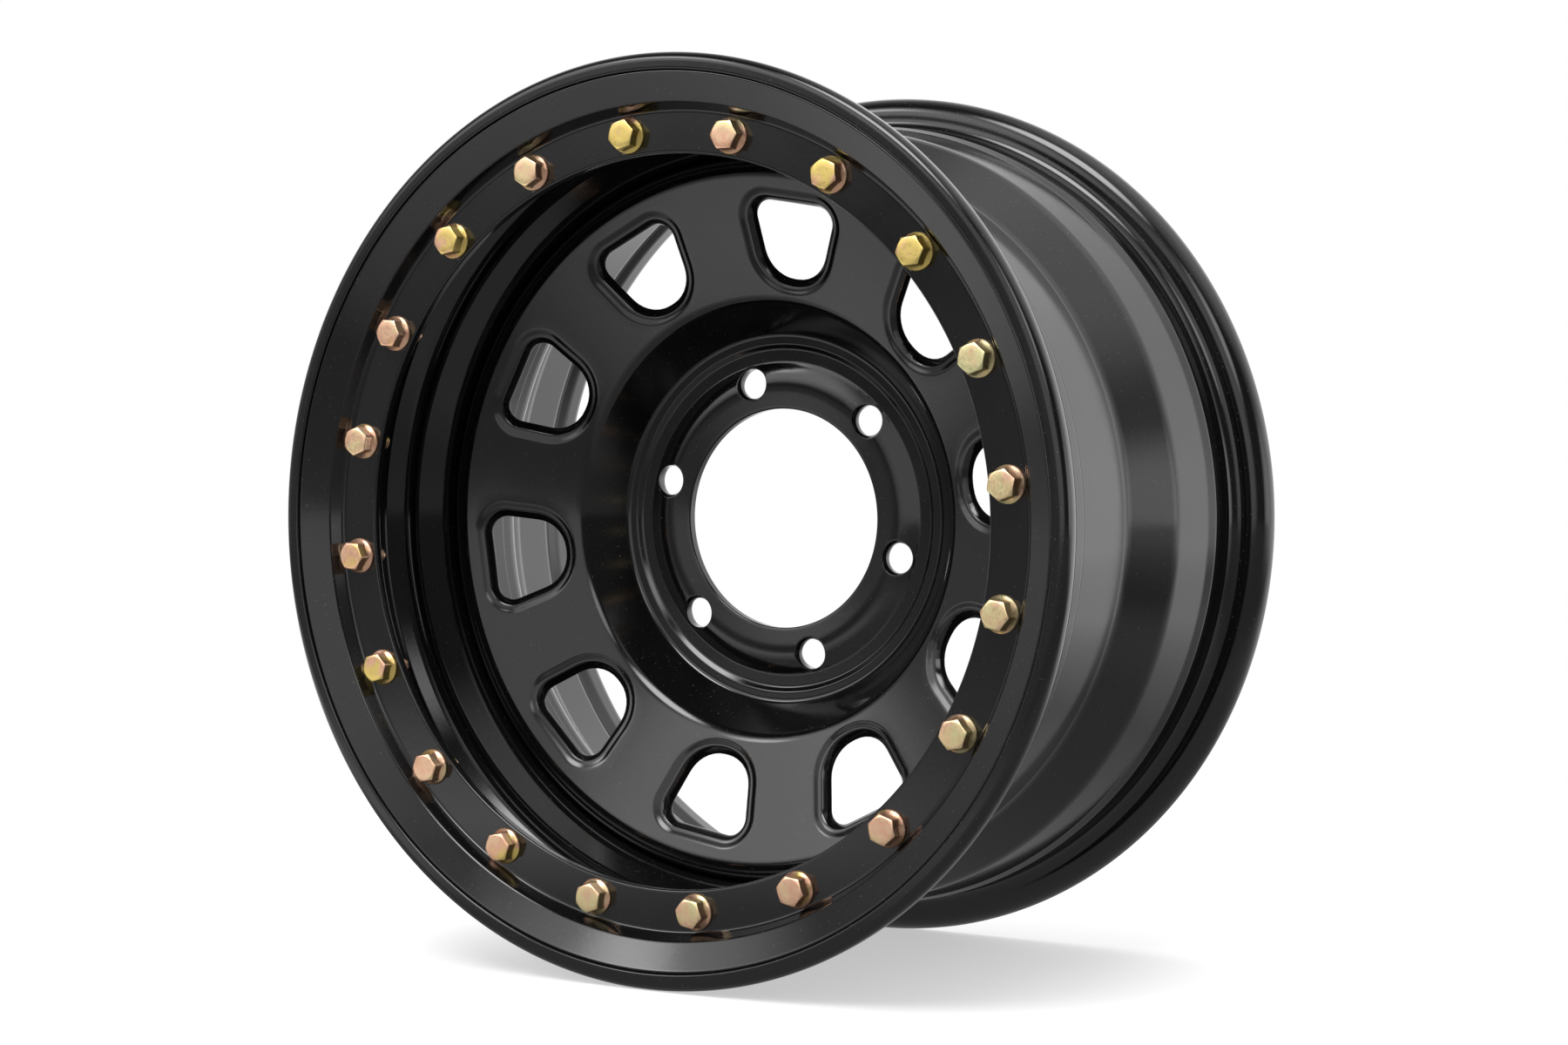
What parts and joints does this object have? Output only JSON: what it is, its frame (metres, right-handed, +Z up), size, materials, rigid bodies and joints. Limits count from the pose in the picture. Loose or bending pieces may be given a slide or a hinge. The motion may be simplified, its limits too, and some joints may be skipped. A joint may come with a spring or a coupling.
{
  "type": "simulated beadlock wheel",
  "caption": "Steel road wheel with a windowed pressed centre, a drop-centre barrel and a bolted dress ring inside the outboard lip that looks like a beadlock.",
  "frame": {"origin": "on the axle line, midway between the tyre faces of the two flanges", "axes": "+Y along the axle, towards the vehicle; the outboard face looks along -Y; +Z up with the wheel standing on its tread side; valve hole at +X"},
  "size_m": [0.4402, 0.2336, 0.4402],
  "materials": {
    "gloss_black_paint": "gloss black powder coat on steel",
    "yellow_zinc": "yellow zinc plate, iridescent"
  },
  "bodies": {
    "root": {"rim": "gloss_black_paint", "disc": "gloss_black_paint", "beadlock_ring": "gloss_black_paint", "ring_bolts": "yellow_zinc", "disc_welds": "gloss_black_paint", "ring_welds": "gloss_black_paint"}
  },
  "joints": []
}
